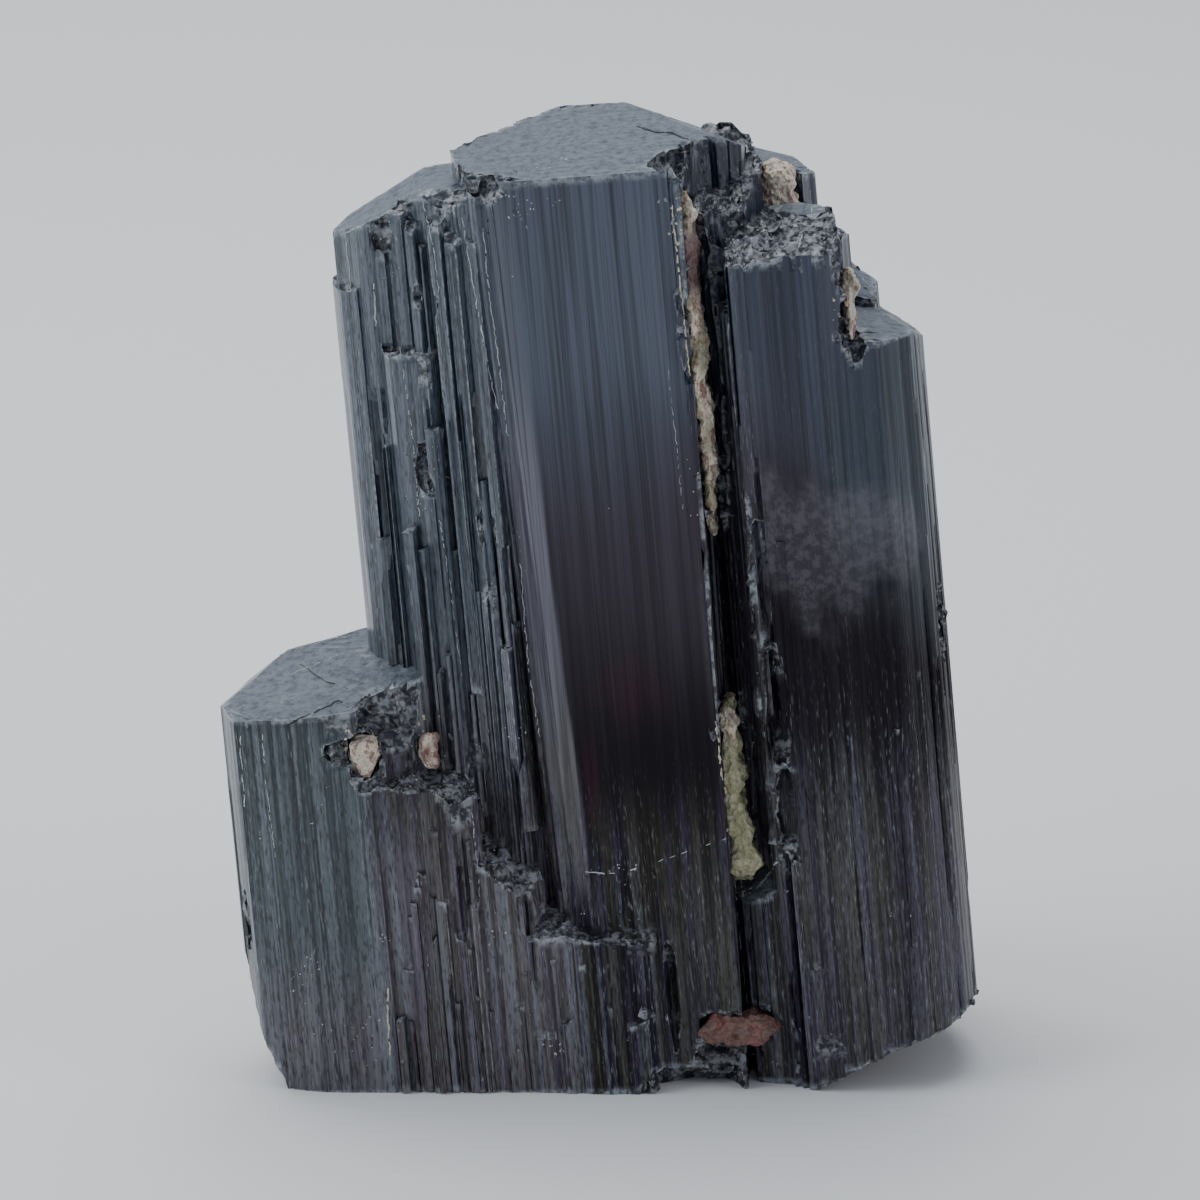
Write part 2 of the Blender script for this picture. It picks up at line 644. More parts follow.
DARK_PATCHES = [
    Patch(345, 705, 490, 790, 60, 0.18, 0.60),
    Patch(405, 440, 445, 520, 18, 0.14, 0.45),
    Patch(455, 170, 540, 235, 26, 0.12, 0.36),
    Patch(655, 160, 745, 222, 36, 0.14, 0.50),
    Patch(700, 215, 830, 270, 40, 0.12, 0.46),
    Patch(470, 850, 660, 940, 46, 0.14, 0.50),
    Patch(290, 940, 640, 1080, 70, 0.12, 0.44),
    Patch(745, 1010, 835, 1080, 30, 0.14, 0.50),
    Patch(690, 1015, 745, 1055, 14, 0.12, 0.40),
    Patch(740, 760, 790, 900, 20, 0.12, 0.36),
    Patch(820, 250, 878, 300, 20, 0.12, 0.40),
]

# A fine line: its width in mm, how much of it is left out, and the points that it runs through
Line = namedtuple("Line", "width gaps points")
PALE_LINES = [
    Line(0.07, 0.15, ((483, 228), (490, 300), (500, 370), (508, 440))),
    Line(0.07, 0.05, ((346, 233), (368, 222), (391, 213))),
    Line(0.06, 0.20, ((346, 233), (349, 265), (352, 300))),
    Line(0.09, 0.05, ((374, 284), (376, 330))),
    Line(0.07, 0.25, ((462, 218), (476, 300), (489, 370), (500, 420))),
    Line(0.05, 0.25, ((420, 190), (432, 240), (440, 300))),
    Line(0.06, 0.10, ((282, 652), (330, 640), (372, 632))),
    Line(0.05, 0.15, ((286, 676), (320, 663), (350, 650))),
    Line(0.08, 0.15, ((240, 736), (242, 770), (245, 810))),
    Line(0.05, 0.40, ((262, 735), (268, 800), (276, 860))),
    Line(0.09, 0.45, ((586, 872), (605, 874), (640, 868))),
    Line(0.04, 0.70, ((640, 867), (690, 851), (735, 836))),
    Line(0.11, 0.15, ((757, 888), (770, 872), (784, 852))),
    Line(0.06, 0.05, ((797, 252), (804, 231), (817, 229), (824, 241))),
    Line(0.06, 0.20, ((836, 262), (856, 272), (872, 290))),
    Line(0.05, 0.30, ((520, 560), (528, 660), (540, 740))),
    Line(0.05, 0.40, ((440, 520), (452, 600), (462, 680))),
    Line(0.06, 0.35, ((470, 800), (476, 850), (480, 900))),
    Line(0.05, 0.40, ((400, 350), (412, 430), (420, 520))),
    Line(0.03, 0.55, ((668, 370), (676, 440), (684, 520))),
    Line(0.06, 0.30, ((735, 880), (742, 960), (748, 1010))),
    Line(0.05, 0.35, ((806, 165), (810, 195), (812, 222))),
]
CREAM_LINES = [
    Line(0.13, 0.12, ((388, 988), (388, 1022), (390, 1058))),
    Line(0.10, 0.20, ((672, 205), (682, 300), (690, 380))),
    Line(0.12, 0.15, ((716, 722), (722, 780), (738, 850), (744, 900))),
]
DARK_LINES = [
    Line(0.12, 0.05, ((284, 727), (310, 714), (338, 701), (347, 705))),
    Line(0.13, 0.05, ((638, 127), (652, 132), (672, 133), (692, 141))),
    Line(0.07, 0.20, ((300, 664), (322, 680), (352, 690))),
    Line(0.07, 0.20, ((585, 876), (622, 880), (650, 872))),
]
# In pixels of the photograph, the length of a sliver and how far it strays, and the longest one in mm
LINE_STEP = 4.0
LINE_STRAY = 0.8
LINE_JUMP = 1.6

# How much of the rough breaks carries pieces: how many to a mm2 and their sizes in mm
Cover = namedtuple("Cover", "count sizes")
SPLINTER_COVER = Cover(0.35, (0.15, 0.55))
GRAIN_COVER = Cover(0.12, (0.08, 0.24))
WHOLLY_BROKEN = 0.9


def camera_ray(column, row):
    """The direction that the camera looks in for a point of the photograph."""
    reach = SENSOR / LENS / PHOTO_SIZE
    sideways = CAMERA_RIGHT * ((column - PHOTO_SIZE / 2) * reach)
    return (sideways + CAMERA_UP * ((PHOTO_SIZE / 2 - row) * reach) - CAMERA_BACK).normalized()


def crystal_tree():
    bm = bmesh.new()
    bm.from_mesh(bpy.data.objects["crystals"].data)
    tree = BVHTree.FromBMesh(bm)
    bm.free()
    return tree


def carried(tree, column, row):
    """The point of the crystals at a point of the photograph and the way it faces, in growth terms."""
    hit, facing, _, _ = tree.ray_cast(CAMERA_PLACE, camera_ray(column, row))
    if hit is None:
        return None, None
    return TO_GROWTH @ hit, (TO_GROWTH.to_3x3() @ facing).normalized()


def add_grain(bm, layer, place, facing, size, rng, look):
    """An angular grain, half sunk into what carries it."""
    made = bmesh.ops.create_icosphere(bm, subdivisions=1, radius=1.0)["verts"]
    turn = facing.to_track_quat("Z", "Y").to_matrix() @ Matrix.Rotation(rng.uniform(0, math.tau), 3, "Z")
    stretch = (rng.uniform(0.7, 1.3), rng.uniform(0.5, 0.9), rng.uniform(0.35, 0.7))
    for vert in made:
        rough = rng.uniform(0.75, 1.2)
        shaped = Vector([vert.co[axis] * stretch[axis] * rough * size * 0.5 for axis in range(3)])
        vert.co = place + turn @ shaped
        vert[layer] = look


def add_splinter(bm, layer, place, facing, size, rng, look):
    """A broken piece of a thin column, lying close to the way the crystals grow."""
    sides = rng.choice((3, 4, 5))
    made = bmesh.ops.create_cone(
        bm, cap_ends=True, segments=sides, radius1=1.0, radius2=rng.uniform(0.55, 0.95), depth=2.0
    )["verts"]
    tilt = Matrix.Rotation(rng.gauss(0.0, 0.38), 3, "X") @ Matrix.Rotation(rng.gauss(0.0, 0.38), 3, "Y")
    turn = tilt @ Matrix.Rotation(rng.uniform(0, math.tau), 3, "Z")
    long = size * rng.uniform(0.7, 1.7)
    for vert in made:
        cut = rng.uniform(-0.35, 0.15) if vert.co.z > 0 else rng.uniform(-0.15, 0.35)
        shaped = Vector((vert.co.x * size * 0.36, vert.co.y * size * 0.36, (vert.co.z + cut) * long * 0.5))
        vert.co = place + turn @ shaped - facing * size * 0.10
        vert[layer] = look


def scatter_patches(bm, layer, tree, patches, add, rng, look):
    for patch in patches:
        for _ in range(patch.count):
            column = rng.uniform(patch.left, patch.right)
            row = rng.uniform(patch.top, patch.bottom)
            place, facing = carried(tree, column, row)
            if place is not None:
                size = patch.small + (patch.large - patch.small) * rng.random() ** 2
                add(bm, layer, place, facing, size, rng, look(rng))


def scatter_breaks(bm, layer, cover, add, rng, look):
    """Scatters small pieces over the rough breaks on every side."""
    mesh = bpy.data.objects["crystals"].data
    marks = mesh.attributes["finish"].data
    for polygon in mesh.polygons:
        if marks[polygon.vertices[0]].color[0] < WHOLLY_BROKEN:
            continue
        if rng.random() < polygon.area / MM / MM * cover.count:
            place = TO_GROWTH @ polygon.center
            facing = (TO_GROWTH.to_3x3() @ polygon.normal).normalized()
            add(bm, layer, place, facing, rng.uniform(*cover.sizes), rng, look(rng))


def add_line(bm, layer, tree, line, rng, look):
    """A chain of thin slivers that follows the crystals between points of the photograph."""
    points = []
    for (x0, y0), (x1, y1) in zip(line.points, line.points[1:]):
        steps = max(int(math.hypot(x1 - x0, y1 - y0) / LINE_STEP), 1)
        for step in range(steps):
            share = step / steps
            column = x0 + (x1 - x0) * share + rng.uniform(-LINE_STRAY, LINE_STRAY)
            row = y0 + (y1 - y0) * share + rng.uniform(-LINE_STRAY, LINE_STRAY)
            points.append(carried(tree, column, row))
    for (start, facing), (end, _) in zip(points, points[1:]):
        if start is None or end is None or (end - start).length > LINE_JUMP or rng.random() < line.gaps:
            continue
        along = end - start
        across = facing.cross(along).normalized()
        turn = Matrix((along.normalized(), across, along.normalized().cross(across))).transposed()
        made = bmesh.ops.create_cube(bm, size=1.0)["verts"]
        width = line.width * rng.uniform(0.6, 1.3)
        for vert in made:
            taper = 1.0 if vert.co.x > 0 else rng.uniform(0.4, 1.0)
            x, y, z = vert.co
            shaped = Vector((x * along.length * 1.15, y * width * taper, z * width * 0.8))
            vert.co = (start + end) / 2 + turn @ shaped
            vert[layer] = look(rng)


def pale_look(rng):
    return rng.uniform(0.0, 1.0), rng.random(), rng.random(), 1.0


def dark_look(rng):
    return rng.uniform(0.3, 0.9), rng.uniform(0.0, 0.5), rng.random(), 0.3


# Colours

# Soft-edged lumps of colour in the crystals: their centres and half sizes
SMOKE_LUMPS = (((15.6, 0.6, 38.5), (5.6, 6.0, 5.4)), ((20.5, 1.0, 38.8), (3.0, 6.0, 3.6)))
BURGUNDY_LUMPS = (((1.6, 1.0, 29.0), (2.4, 3.0, 2.6)), ((-1.6, 1.0, 23.0), (0.7, 3.0, 3.6)))
BURGUNDY = (0.052, 0.008, 0.020)


def spot(place, centre, size):
    """1 inside a soft-edged lump around a point, in growth millimetres."""
    away = Vector([(place[axis] - centre[axis]) / size[axis] for axis in range(3)]).length
    return 1.0 - smooth(0.55, 1.15, away + 0.5 * noise.noise(place * 0.45) + 0.25 * noise.noise(place * 1.6))


def colour_at(place, settings):
    """The body colour of a point with the weight of its gloss, and how its markings are spread."""
    u, v, w = place
    sway = noise.noise(place * 0.085) * 4.0
    high = w + sway * 1.4
    across = u + sway * 0.25
    front = between(across, -5.6, 7.6, 0.8) * (1.0 - smooth(2.2, 3.2, v))
    right = smooth(10.5, 12.0, across)
    teal = right * between(across, 16.5, 24.0, 1.5)
    back = smooth(8.0, 12.0, v)
    left = (1.0 - smooth(-17.6, -16.6, u)) * (1.0 - smooth(28.0, 30.0, w)) * (1.0 - back * 0.7)
    foot = between(u, -17.2, -4.0, 1.2) * (1.0 - smooth(14.0, 25.0, w))
    flank = (1.0 - smooth(-6.6, -5.6, u)) * smooth(2.0, 2.8, v) * smooth(18.0, 26.0, w) * (1.0 - back * 0.8)
    off_band = u - band_centre(w) + 0.15 * noise.noise(Vector((u * 2.0, 1.0, w * 0.1)))
    band = between(off_band, -BAND_HALF, BAND_HALF, 0.16) * (1.0 - smooth(2.2, 2.6, v)) * smooth(13.0, 18.0, w)
    # every layer: where it lies, its colour and the weight of the gloss over it
    layers = (
        # the body from the foot to the top
        (smooth(20.0, 44.0, high), settings.middle_colour, 0.45),
        (smooth(38.0, 58.0, high), settings.high_colour, 0.62),
        # the front face and the right crystal
        (front * smooth(40.0, 58.0, high), (0.062, 0.078, 0.116), 0.66),
        (front * (1.0 - smooth(20.0, 44.0, high)), settings.dark_colour, 0.0),
        (right * between(high, 17.0, 42.0, 8.0), settings.dark_colour, 0.0),
        (right * (1.0 - smooth(12.0, 25.0, w)), (0.036, 0.029, 0.034), 0.24),
        (front * (1.0 - smooth(10.0, 22.0, w)) * smooth(1.0, 5.0, across), (0.036, 0.033, 0.026), 0.22),
        (teal * between(high, 36.0, 53.0, 4.0), (0.020, 0.034, 0.056), 0.50),
        # the flank, the left crystal, the broken feet and the sloping band
        (flank, (0.066, 0.090, 0.124), 0.85),
        (flank * (1.0 - smooth(22.0, 38.0, high)), (0.092, 0.084, 0.116), 0.70),
        (left, (0.034, 0.060, 0.068), 0.62),
        (left * (1.0 - smooth(8.0, 15.0, high)), (0.120, 0.113, 0.132), 0.50),
        (foot, (0.098, 0.071, 0.092), 0.50),
        (band * 0.9, (0.060, 0.072, 0.105), 0.70),
        (band * 0.9 * (1.0 - smooth(44.0, 56.0, high)), (0.115, 0.108, 0.150), 0.80),
        (band * 0.8 * (1.0 - smooth(24.0, 36.0, high)), (0.100, 0.095, 0.092), 0.60),
    )
    colour = Vector(settings.low_colour)
    gloss = 0.12
    for share, tint, weight in layers:
        colour = colour.lerp(Vector(tint), share)
        gloss += (weight - gloss) * share
    # how bright the streaks are, and how far the olive and violet columns reach up
    calm = 1.0 - front * smooth(10.0, 22.0, w) * 0.92 - right * smooth(20.0, 28.0, w) * 0.85
    calm += foot * 0.9 + left * 0.4 + flank * 0.4
    calm *= 1.0 - back * 0.5
    deep = (1.0 - smooth(20.0, 40.0, w)) * (1.0 - left * 0.7) * (1.0 - front * smooth(16.0, 24.0, w))
    deep *= 1.0 - right * smooth(15.0, 27.0, high) * 0.9
    smoke = max(spot(place, *lump) for lump in SMOKE_LUMPS)
    burgundy = max(spot(place, *lump) for lump in BURGUNDY_LUMPS)
    grit = max(1.0 - front * smooth(14.0, 26.0, w) - right * smooth(22.0, 32.0, w) * 0.85 - back * 0.6, 0.0)
    hue = noise.noise(Vector((u * 1.3, v * 1.3, w * 0.06)))
    colour = colour.lerp(Vector(settings.olive_colour), smooth(0.0, 0.22, hue) * deep * 0.40)
    colour = colour.lerp(Vector(settings.violet_colour), smooth(0.0, 0.18, -hue) * deep * 0.48)
    colour = colour.lerp(Vector(BURGUNDY), burgundy * 0.35)
    return (*colour, gloss), (max(calm, 0.0), smoke, 0.0, 1.0), grit


# Materials

SHADE = (0.004, 0.003, 0.005)
FLECK = (0.215, 0.225, 0.245)
PIT = (0.006, 0.005, 0.008)
SMOKE = (0.120, 0.112, 0.134)
CAP_LIGHT = (0.225, 0.240, 0.260)
CAP_DARK = (0.045, 0.050, 0.062)
RUBBLE_LIGHT = (0.29, 0.30, 0.32)
RUBBLE_DARK = (0.026, 0.027, 0.034)
WORN = (0.34, 0.37, 0.40)
RED_SEAM = (0.120, 0.045, 0.060)
GREEN_SEAM = (0.36, 0.36, 0.19)
DIRT = (0.030, 0.024, 0.026)
DUST = (0.050, 0.038, 0.034)
# The body shines faintly under its coat, which carries the reflections of a polished growth face
BODY_IOR = 1.22
TOURMALINE_IOR = 1.62
COAT_ROUGHNESS = 0.2
FELDSPAR_IOR = 1.52
GRAIN_IOR = 1.53


class Value:
    """A socket of a material, on which arithmetic adds Math nodes."""

    def __init__(self, finish, socket):
        self.finish = finish
        self.socket = socket

    def maths(self, operation, first, second=0.0, clamp=False):
        settings = {"operation": operation, "use_clamp": clamp}
        return self.finish.node("ShaderNodeMath", settings, {0: first, 1: second})

    def __add__(self, other):
        return self.maths("ADD", self, other)

    __radd__ = __add__

    def __sub__(self, other):
        return self.maths("SUBTRACT", self, other)

    def __rsub__(self, other):
        return self.maths("SUBTRACT", other, self)

    def __mul__(self, other):
        return self.maths("MULTIPLY", self, other)

    __rmul__ = __mul__

    def held(self):
        return self.maths("ADD", self, 0.0, clamp=True)

    def rise(self, low, high):
        """0 below low and 1 above high, with a soft change between."""
        return self.finish.node(
            "ShaderNodeMapRange",
            {"interpolation_type": "SMOOTHSTEP"},
            {"Value": self, "From Min": low, "From Max": high},
        )


class Finish:
    """A material whose nodes are all made by one method."""

    def __init__(self, name):
        self.material = bpy.data.materials.new(name)
        self.material.use_nodes = True
        self.tree = self.material.node_tree
        self.tree.nodes.clear()

    def node(self, kind, settings=None, sockets=None, output=0):
        made = self.tree.nodes.new(kind)
        for name, value in (settings or {}).items():
            setattr(made, name, value)
        for name, value in (sockets or {}).items():
            if isinstance(value, Value):
                self.tree.links.new(value.socket, made.inputs[name])
            else:
                made.inputs[name].default_value = value
        return None if output is None else Value(self, made.outputs[output])

    def blend(self, share, first, second):
        """A mix of two colours."""
        first = first if isinstance(first, Value) else (*first, 1.0)
        second = second if isinstance(second, Value) else (*second, 1.0)
        return self.node("ShaderNodeMix", {"data_type": "RGBA"}, {0: share, 6: first, 7: second}, output=2)

    def scaled(self, vector, scale):
        return self.node("ShaderNodeMapping", {}, {"Vector": vector, "Scale": scale})

    def marks(self, name, output="Color"):
        """A colour of the vertices, or its fourth number."""
        return self.node("ShaderNodeAttribute", {"attribute_name": name}, output=output)

    def grain(self, vector, scale, detail, rough=0.5):
        sockets = {"Vector": vector, "Scale": scale, "Detail": detail, "Roughness": rough}
        return self.node("ShaderNodeTexNoise", {}, sockets)

    def growth(self):
        """Object coordinates turned to the growth frame, in millimetres."""
        here = self.node("ShaderNodeTexCoord", output="Object")
        origin = TO_GROWTH @ Vector((0.0, 0.0, 0.0))
        sockets = {"Vector": here, "Scale": (1 / MM,) * 3, "Rotation": (0.0, LEAN, 0.0), "Location": origin}
        return self.node("ShaderNodeMapping", {}, sockets)

    def parts(self, vector):
        first = self.node("ShaderNodeSeparateXYZ", {}, {"Vector": vector})
        node = first.socket.node
        return [Value(self, node.outputs[index]) for index in range(3)]

    def bump(self, height, distance, strength=1.0, normal=None):
        sockets = {"Height": height, "Distance": distance * MM, "Strength": strength}
        if normal:
            sockets["Normal"] = normal
        return self.node("ShaderNodeBump", {}, sockets)

    def finished(self, sockets):
        surface = self.node("ShaderNodeBsdfPrincipled", {}, sockets)
        self.node("ShaderNodeOutputMaterial", {"target": "ALL"}, {"Surface": surface}, output=None)
        return self.material


def crystal_material(settings):
    f = Finish("tourmaline")
    place = f.growth()
    broken, wear, tone = f.parts(f.marks("finish"))
    rough_zone = f.marks("finish", "Alpha")
    colour = f.marks("zone")
    gloss = f.marks("zone", "Alpha")
    calm, smoke, _ = f.parts(f.marks("stain"))
    lines = f.grain(f.scaled(place, (2.1, 2.1, 0.030)), 1.0, 1.0, 0.62)
    fine = f.grain(f.scaled(place, (8.0, 8.0, 0.07)), 1.0, 0.0)
    grit = f.grain(f.scaled(place, (7.5, 7.5, 1.1)), 1.0, 1.0, 0.7)
    crumb = f.grain(place, 1.5, 2.0, 0.75)
    sides = 1.0 - broken

    streak = (lines.rise(0.47, 0.62) * 0.7 + fine.rise(0.50, 0.66) * 0.5).held()
    shade = (1.0 - lines.rise(0.38, 0.55)) * 0.5 + (1.0 - fine.rise(0.38, 0.50)) * 0.4
    colour = f.blend((shade * 0.75 * sides).held(), colour, SHADE)
    bright = streak * (0.25 + tone * 0.75) * sides * calm * 0.5
    colour = f.blend(bright.held(), colour, tuple(settings.streak_colour))
    flecks = grit.rise(0.58, 0.76) * rough_zone
    colour = f.blend((flecks * (0.20 + 0.60 * tone)).held(), colour, FLECK)
    pits = (1.0 - grit).rise(0.54, 0.66) * rough_zone
    colour = f.blend((pits * 0.7).held(), colour, PIT)
    spots = crumb.rise(0.38, 0.66)
    colour = f.blend((smoke * (0.4 + 0.5 * spots) * 0.72).held(), colour, SMOKE)

    facing = f.node("ShaderNodeNewGeometry", output="Normal")
    lying = f.parts(facing)[2].rise(0.55, 0.85) * sides
    cap = f.blend((spots * 0.75).held(), tuple(settings.end_colour), CAP_LIGHT)
    cap = f.blend(((1.0 - crumb).rise(0.54, 0.72) * 0.75).held(), cap, CAP_DARK)
    colour = f.blend((lying * 0.92).held(), colour, cap)

    rubble = f.blend(crumb.rise(0.42, 0.64), RUBBLE_DARK, RUBBLE_LIGHT)
    colour = f.blend((broken * 0.85).held(), colour, rubble)
    worn = wear.rise(0.30, 0.85) * (0.15 + spots) * 0.65
    colour = f.blend(worn.held(), colour, WORN)

    relief = f.bump((lines * 0.5 + fine * 0.4) * sides + crumb * (0.1 + broken * 0.4), 0.13)
    roughness = settings.roughness + fine * 0.22 + crumb * 0.2 + broken * 0.14
    return f.finished(
        {
            "Base Color": colour,
            "Roughness": roughness,
            "IOR": BODY_IOR,
            "Coat Weight": gloss * (0.55 + lines * 0.9),
            "Coat Roughness": COAT_ROUGHNESS,
            "Coat IOR": TOURMALINE_IOR,
            "Normal": relief,
        }
    )


def feldspar_material(name, first, second, stain, dirt):
    f = Finish(name)
    place = f.growth()
    u, _, w = f.parts(place)
    cloud = f.grain(f.scaled(place, (1.0, 1.0, 0.45)), 0.5, 4.0, 0.6)
    crumb = f.grain(f.scaled(place, (1.0, 1.0, 0.5)), 1.9, 4.0, 0.65)
    dust = f.grain(place, 7.0, 4.0, 0.7)
    colour = f.blend(cloud.rise(0.42, 0.58), first, second)
    colour = f.blend((crumb.rise(0.50, 0.60) * 0.85).held(), colour, stain)
    red = w.rise(56.0, 57.5) * (1.0 - w.rise(60.5, 62.0)) * (1.0 - u.rise(10.0, 11.0))
    colour = f.blend((red * 0.8).held(), colour, RED_SEAM)
    green = w.rise(8.0, 10.0) * (1.0 - w.rise(23.0, 27.0)) * u.rise(6.0, 8.0)
    colour = f.blend((green * 0.65).held(), colour, GREEN_SEAM)
    colour = f.blend(((1.0 - crumb).rise(0.48, 0.60) * dirt).held(), colour, DIRT)
    colour = f.blend((dust.rise(0.58, 0.70) * 0.55).held(), colour, DUST)
    cells = f.node("ShaderNodeTexVoronoi", {}, {"Vector": place, "Scale": 2.6}, output="Distance")
    relief = f.bump(cells + crumb * 0.7, 0.24, 0.9)
    relief = f.bump(dust, 0.04, 0.8, relief)
    return f.finished(
        {
            "Base Color": colour,
            "Roughness": (0.45 + crumb * 0.3).held(),
            "IOR": FELDSPAR_IOR,
            "Normal": relief,
        }
    )


def grain_material(name, first, second, rough):
    f = Finish(name)
    place = f.growth()
    shade, _, _ = f.parts(f.marks("finish"))
    dust = f.grain(place, 6.0, 4.0, 0.7)
    colour = f.blend((shade * 0.7 + dust.rise(0.4, 0.6) * 0.4).held(), first, second)
    return f.finished(
        {
            "Base Color": colour,
            "Roughness": (rough + dust * 0.25).held(),
            "IOR": GRAIN_IOR,
            "Normal": f.bump(dust, 0.03, 0.7),
        }
    )


# Settings


def number_setting(name, description, value, subtype="NONE", unit="NONE"):
    return FloatProperty(name=name, description=description, default=value, subtype=subtype, unit=unit)


def colour_setting(name, description, value):
    return FloatVectorProperty(name=name, description=description, default=value, subtype="COLOR")


class CrystalSettings(bpy.types.PropertyGroup):
    column_pitch: number_setting("Column pitch", "Step between cuts across the striations, in mm", 0.25)
    row_pitch: number_setting("Row pitch", "Step between cuts along the striations, in mm", 1.1)
    end_pitch: number_setting("End face pitch", "Length of edges on flat end faces, in mm", 1.1)
    break_pitch: number_setting("Break pitch", "Length of edges on rough breaks, in mm", 0.34)
    roughness: number_setting("Roughness", "Roughness of clean growth faces", 0.22, "FACTOR")
    low_colour: colour_setting("Foot colour", "Body colour at the foot", (0.029, 0.021, 0.026))
    dark_colour: colour_setting("Dark colour", "Body colour of the darkest zone", (0.0046, 0.0012, 0.0052))
    middle_colour: colour_setting("Middle colour", "Body colour half way up", (0.024, 0.014, 0.032))
    high_colour: colour_setting("Top colour", "Body colour of the top", (0.022, 0.032, 0.066))
    end_colour: colour_setting("End colour", "Colour of the flat end faces", (0.115, 0.140, 0.172))
    olive_colour: colour_setting("Olive columns", "Colour of the olive columns low down", (0.078, 0.072, 0.046))
    violet_colour: colour_setting("Violet columns", "Colour of the violet columns low down", (0.060, 0.042, 0.086))
    streak_colour: colour_setting("Streak colour", "Colour of the bright striations", (0.155, 0.175, 0.205))


class MineralSettings(bpy.types.PropertyGroup):
    cream: colour_setting("Cream", "Clean feldspar", (0.78, 0.67, 0.54))
    olive: colour_setting("Olive", "Green and olive feldspar", (0.36, 0.34, 0.23))
    stain: colour_setting("Stain", "Iron stain on the feldspar", (0.22, 0.11, 0.085))
    clay: colour_setting("Clay", "Iron-stained clay", (0.27, 0.095, 0.080))


class StageSettings(bpy.types.PropertyGroup):
    floor_colour: colour_setting("Floor", "Colour of floor and backdrop", (0.88, 0.88, 0.87))
    top_power: number_setting("Top light", "Power of the overhead panel", 1.6, unit="POWER")
    side_power: number_setting("Side light", "Power of the left panel", 1.0, unit="POWER")
    fill_power: number_setting("Fill light", "Power of the right panel", 0.5, unit="POWER")


class SpecimenSettings(bpy.types.PropertyGroup):
    crystals: PointerProperty(type=CrystalSettings, name="Crystals", description="The crystals")
    mineral: PointerProperty(type=MineralSettings, name="Minerals", description="Feldspar and clay")
    stage: PointerProperty(type=StageSettings, name="Stage", description="Floor and lights")


# Operators

MERGE = 0.0005
FLAT_ANGLE = math.radians(0.4)
FLOOR_RADIUS = 3.0
LOOK_AT = (0.0, 0.0, 0.035)
SKY_COLOUR = (0.74, 0.82, 0.95, 1.0)
SKY_STRENGTH = 0.45
GRAIN_ROUGHNESS = 0.35
# How dirty the fillings are, and the colour and weight of the dirt on the clay
FELDSPAR_DIRT = 0.25
CLAY_DIRT = 0.5
CLAY_STAIN = (0.10, 0.085, 0.08)
# The pieces of small grains and lines: name, patches, lines, two colours (or the names of settings) and seed
GRAIN_PIECES = (
    ("pale_grains", PALE_PATCHES, PALE_LINES, (0.72, 0.74, 0.72), (0.24, 0.27, 0.29), 71),
    ("cream_grains", CREAM_PATCHES, CREAM_LINES, "cream", "olive", 72),
    ("crack_lines", (), DARK_LINES, (0.006, 0.005, 0.007), (0.015, 0.012, 0.015), 73),
)
SPLINTER_SEED = 404
# The light panels: place, size, the setting of their power and their colour
PANELS = (
    ("top_panel", (-0.06, 0.14, 0.42), (0.45, 0.40), "top_power", (0.96, 0.98, 1.0)),
    ("left_panel", (-0.42, -0.14, 0.22), (0.30, 0.40), "side_power", (0.92, 0.97, 1.0)),
    ("right_panel", (0.45, -0.20, 0.16), (0.25, 0.35), "fill_power", (1.0, 0.97, 0.98)),
)


class SPECIMEN_OT_crystals(bpy.types.Operator):
    """Build the striated crystals with their columns, slots and broken spots"""

    bl_idname = "specimen.crystals"
    bl_label = "Crystals"

    def execute(self, context):
        settings = context.scene.specimen.crystals
        bm = node_copy("tourmaline_crystals")
        bm = join_solids(bm, [solid for run in COLUMNS for solid in run_solids(run)], "columns")
        bmesh.ops.remove_doubles(bm, verts=bm.verts, dist=MERGE)
        bmesh.ops.dissolve_limit(bm, angle_limit=FLAT_ANGLE, verts=bm.verts, edges=bm.edges)
        layer = refine(bm, settings)
        carve(bm, layer, settings)
        bmesh.ops.triangulate(bm, faces=[face for face in bm.faces if len(face.verts) > 4])
        keep_in_box(bm)
        obj = link("crystals", bm)
        declare(obj, "tourmaline", crystal_material(settings), "tourmaline_crystals")
        return {"FINISHED"}


class SPECIMEN_OT_feldspar(bpy.types.Operator):
    """Build the feldspar seams and patches"""

    bl_idname = "specimen.feldspar"
    bl_label = "Feldspar"

    def execute(self, context):
        colours = context.scene.specimen.mineral
        for filling in FILLINGS:
            bm = grown_filling(filling)
            keep_in_box(bm)
            obj = link(f"{filling.node}_crust", bm)
            first, second = getattr(colours, filling.first), getattr(colours, filling.second)
            tints = [tuple(tint) for tint in (first, second, colours.stain)]
            material = feldspar_material(f"{filling.node}_finish", *tints, FELDSPAR_DIRT)
            declare(obj, "feldspar", material, filling.node)
        return {"FINISHED"}


class SPECIMEN_OT_clay(bpy.types.Operator):
    """Build the patch of iron-stained clay"""

    bl_idname = "specimen.clay"
    bl_label = "Clay"

    def execute(self, context):
        colours = context.scene.specimen.mineral
        bm = grown_filling(CLAY)
        keep_in_box(bm)
        obj = link("iron_stained_patch_crust", bm)
        tints = (tuple(colours.clay), tuple(colours.stain), CLAY_STAIN)
        material = feldspar_material("iron_stained_clay", *tints, CLAY_DIRT)
        declare(obj, "iron_stain", material, "iron_stained_patch")
        return {"FINISHED"}


